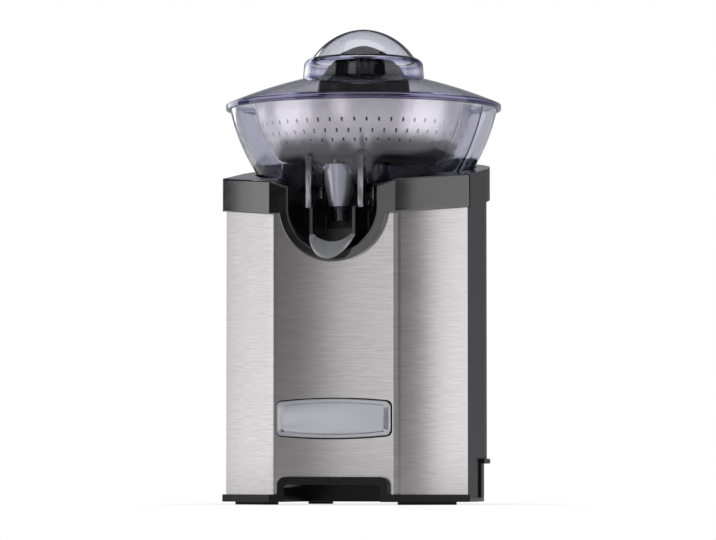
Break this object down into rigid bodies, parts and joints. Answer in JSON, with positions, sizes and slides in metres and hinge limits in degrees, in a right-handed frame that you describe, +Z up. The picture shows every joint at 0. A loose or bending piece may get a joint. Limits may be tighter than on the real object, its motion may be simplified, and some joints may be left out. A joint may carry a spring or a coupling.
{
  "type": "citrus juicer",
  "caption": "Upright electric citrus juicer with a ribbed cone that presses down to start, steel strainer, clear bowl and lid, tilting spout and arched base.",
  "frame": {"origin": "on the drive axis at the table", "axes": "+Z up along the drive axis, -Y towards the spout, +X to the right seen from the front"},
  "size_m": [0.197, 0.197, 0.34],
  "materials": {
    "clear_plastic": "clear moulded, faint lavender tint",
    "black_gloss_plastic": "gloss black moulded",
    "grey_plastic": "fine-grained dark grey",
    "black_plastic": "satin black",
    "silver_plastic": "silver-grey, satin",
    "brushed_steel": "brushed across",
    "polished_steel": "pressed and polished",
    "badge_metal": "satin plate with a raised rim, bare",
    "rubber": "matte",
    "nylon": "moulded",
    "box_plastic": "moulded",
    "turned_steel": "turned",
    "bronze": "sintered",
    "copper_wire": "enamelled winding",
    "lamination_steel": "stacked sheets",
    "zinc": "die cast",
    "switch_plastic": "moulded"
  },
  "bodies": {
    "housing": {"front_collar": "black_gloss_plastic", "front_panel": "brushed_steel", "top_deck": "grey_plastic", "rear_cover": "grey_plastic", "cord_wrap": "grey_plastic", "base_tray": "black_plastic", "spout_well": "black_plastic", "badge_plate": "badge_metal", "feet": "rubber", "shaft_seal": "rubber", "cord_gland": "rubber", "gearbox_mounts": "rubber", "gearbox_base": "box_plastic", "gearbox_cover": "box_plastic", "compound_pin": "turned_steel", "gearbox_screws": "turned_steel", "mount_screws": "turned_steel", "motor_bolts": "turned_steel", "switch_screws": "turned_steel", "base_screws": "turned_steel", "tie_posts": "turned_steel", "shaft_bushes": "bronze", "motor_bushes": "bronze", "switch_terminals": "bronze", "motor_coils": "copper_wire", "motor_stator": "lamination_steel", "motor_upper_bracket": "zinc", "motor_lower_bracket": "zinc", "switch_body": "switch_plastic"},
    "output_gear": {"output_gear": "nylon", "return_spring": "turned_steel"},
    "drive_shaft": {"drive_shaft": "turned_steel", "drive_head": "turned_steel", "shaft_collar": "turned_steel"},
    "compound_gear": {"compound_gear": "nylon"},
    "motor_rotor": {"motor_rotor": "lamination_steel", "motor_shaft": "turned_steel", "motor_pinion": "turned_steel"},
    "reamer_cone": {"reamer_cone": "black_gloss_plastic"},
    "strainer": {"strainer": "polished_steel"},
    "bowl": {"bowl": "clear_plastic", "spout_funnel": "polished_steel"},
    "spout_tongue": {"spout_tongue": "silver_plastic"},
    "lid": {"lid": "clear_plastic"},
    "switch_lever": {"switch_lever": "turned_steel"},
    "switch_plunger": {"switch_plunger": "switch_plastic"}
  },
  "joints": [
    {"name": "output_spin", "type": "hinge", "parent": "housing", "child": "output_gear", "pos_m": [0, 0, 0.172], "axis": [0, 0, 1], "continuous": true},
    {"name": "compound_spin", "type": "hinge", "parent": "housing", "child": "compound_gear", "pos_m": [0.0296, 0.02962, 0.168], "axis": [0, 0, 1], "continuous": true},
    {"name": "motor_spin", "type": "hinge", "parent": "housing", "child": "motor_rotor", "pos_m": [0, 0.03, 0.104], "axis": [0, 0, 1], "continuous": true},
    {"name": "shaft_press", "type": "slide", "parent": "output_gear", "child": "drive_shaft", "axis": [0, 0, -1], "range_m": [0, 0.003], "stiffness_N_per_m": 4000, "springref_m": -0.002, "deforming": ["return_spring"]},
    {"name": "lid_lift", "type": "slide", "parent": "housing", "child": "lid", "axis": [0, 0, 1], "range_m": [0, 0.26]},
    {"name": "cone_lift", "type": "slide", "parent": "drive_shaft", "child": "reamer_cone", "axis": [0, 0, 1], "range_m": [0, 0.2]},
    {"name": "strainer_lift", "type": "slide", "parent": "housing", "child": "strainer", "axis": [0, 0, 1], "range_m": [0, 0.13]},
    {"name": "bowl_lift", "type": "slide", "parent": "housing", "child": "bowl", "axis": [0, 0, 1], "range_m": [0, 0.07]},
    {"name": "tongue_tilt", "type": "hinge", "parent": "bowl", "child": "spout_tongue", "pos_m": [0, -0.06, 0.211], "axis": [-1, 0, 0], "range_deg": [0, 40]},
    {"name": "lever_tilt", "type": "hinge", "parent": "housing", "child": "switch_lever", "pos_m": [0, -0.0294, 0.1465], "axis": [-1, 0, 0], "range_deg": [0, 6.3]},
    {"name": "plunger_press", "type": "slide", "parent": "housing", "child": "switch_plunger", "axis": [0, 0, -1], "range_m": [0, 0.0008]}
  ],
  "couplings": [
    {"joint": "compound_spin", "follows": "output_spin", "ratio": -4.1538},
    {"joint": "motor_spin", "follows": "output_spin", "ratio": 17.802},
    {"joint": "cone_lift", "follows": "lid_lift", "ratio": 0.76923},
    {"joint": "strainer_lift", "follows": "lid_lift", "ratio": 0.5},
    {"joint": "bowl_lift", "follows": "lid_lift", "ratio": 0.26923},
    {"joint": "lever_tilt", "follows": "shaft_press", "rad_per_m": 36},
    {"joint": "plunger_press", "follows": "shaft_press", "ratio": 0.25}
  ]
}
